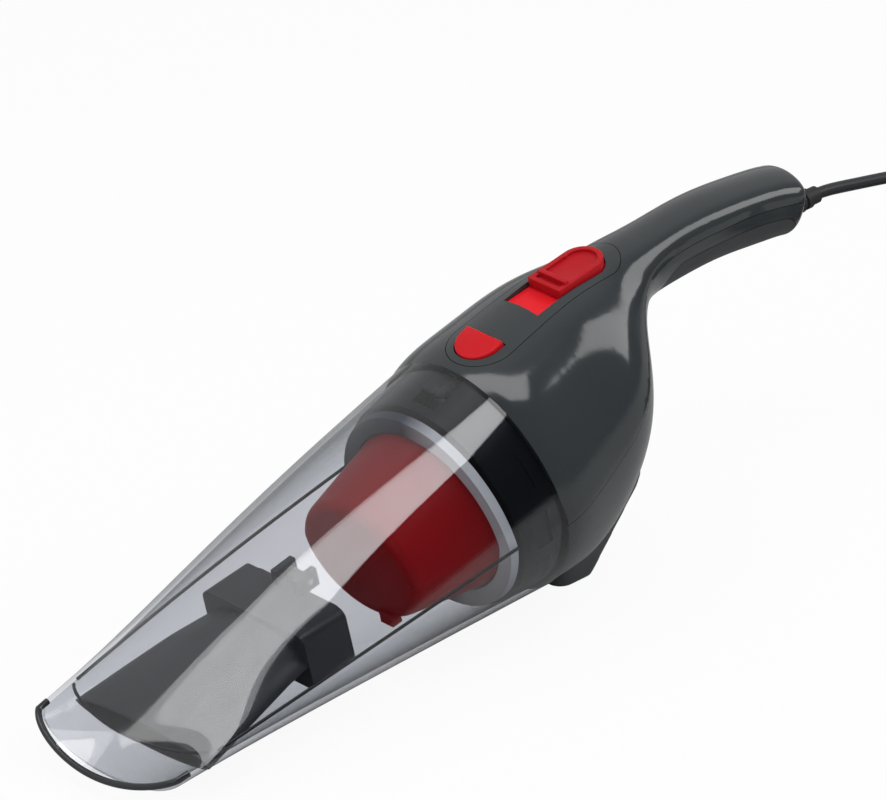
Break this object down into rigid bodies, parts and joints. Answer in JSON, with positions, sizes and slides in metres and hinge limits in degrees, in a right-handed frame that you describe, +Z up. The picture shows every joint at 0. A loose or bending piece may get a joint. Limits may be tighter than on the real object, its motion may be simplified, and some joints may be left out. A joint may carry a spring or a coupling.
{
  "type": "handheld vacuum",
  "caption": "Corded handheld vacuum with a clear tapering dust bowl, red filter cup, arched handle with slide switch and release button, and a lead to a vehicle accessory plug.",
  "frame": {"origin": "on the floor under the middle of the machine, without its lead", "axes": "+X from the nose to the handle's end, -Y to the flank that the picture shows, +Z up"},
  "size_m": [0.573, 0.1821, 0.1324],
  "materials": {
    "housing": "glossy charcoal moulding",
    "clear": "clear smoke-tinted moulding",
    "red": "glossy red moulding",
    "red_clear": "translucent red moulding",
    "pale_grey": "satin pale grey moulding",
    "dark_grey": "satin dark grey moulding",
    "black": "satin black moulding",
    "fan_white": "plain white moulding",
    "rubber": "soft matt black",
    "lead": "smooth black cable jacket",
    "wire_red": "red insulation",
    "wire_black": "black insulation",
    "cloth": "white non-woven",
    "tie": "black woven strap",
    "steel": "bright steel",
    "zinc": "zinc-plated drawn steel",
    "copper": "varnished copper winding on a steel core",
    "bronze": "sintered bronze",
    "brass": "plain brass",
    "fuse_glass": "glass fuse"
  },
  "bodies": {
    "machine": {"neck_frame": "dark_grey", "fan_case": "dark_grey", "motor_can": "zinc", "motor_end_cap": "black", "front_bush": "bronze", "rear_bush": "bronze", "motor_terminals": "brass", "motor_screws": "steel", "housing_screws": "steel", "upper_housing": "housing", "lower_housing": "housing", "control_panel": "housing", "handle_grip": "rubber", "rear_foot": "black", "switch_tray": "red", "switch_block": "black", "release_spring": "steel", "strain_relief": "rubber", "cord_tail": "lead", "cord_clamp": "black", "live_wire": "wire_red", "motor_wire": "wire_red", "return_wire": "wire_black", "power_cord": "lead", "cord_coil": "lead", "cord_tie": "tie", "plug_lead": "lead", "plug_relief": "rubber", "plug_grip": "black", "plug_barrel": "black", "plug_contacts": "steel", "plug_ring": "black", "plug_fuse": "fuse_glass"},
    "bowl": {"dust_bowl": "clear", "intake_duct": "dark_grey", "flap_pin": "steel"},
    "flap": {"flap_valve": "rubber"},
    "filter": {"filter_frame": "pale_grey", "filter_seal": "rubber", "filter_cup": "red_clear", "filter_cloth": "cloth"},
    "button": {"release_button": "red", "release_latch": "red"},
    "slider": {"switch_slider": "red"},
    "rotor": {"impeller": "fan_white", "motor_shaft": "steel", "motor_armature": "copper"},
    "plug_point": {"plug_tip": "brass"}
  },
  "joints": [
    {"name": "bowl_pull", "type": "slide", "parent": "machine", "child": "bowl", "axis": [-0.9781, 0, -0.2079], "range_m": [0, 0.1]},
    {"name": "flap_swing", "type": "hinge", "parent": "bowl", "child": "flap", "pos_m": [-0.07988, 0, 0.0487], "axis": [0, -1, 0], "range_deg": [0, 50], "stiffness_Nm_per_rad": 0.002},
    {"name": "filter_pull", "type": "slide", "parent": "machine", "child": "filter", "axis": [-0.9781, 0, -0.2079], "range_m": [0, 0.007]},
    {"name": "button_press", "type": "slide", "parent": "machine", "child": "button", "axis": [0.3831, 0, -0.9237], "range_m": [0, 0.0025], "stiffness_N_per_m": 800},
    {"name": "switch_slide", "type": "slide", "parent": "machine", "child": "slider", "axis": [-0.9858, 0, -0.1677], "range_m": [0, 0.012]},
    {"name": "fan_spin", "type": "hinge", "parent": "machine", "child": "rotor", "pos_m": [0.016, 0, 0.05504], "axis": [-0.9781, 0, -0.2079], "continuous": true},
    {"name": "tip_press", "type": "slide", "parent": "machine", "child": "plug_point", "axis": [0, -1, 0], "range_m": [0, 0.003], "stiffness_N_per_m": 900}
  ]
}
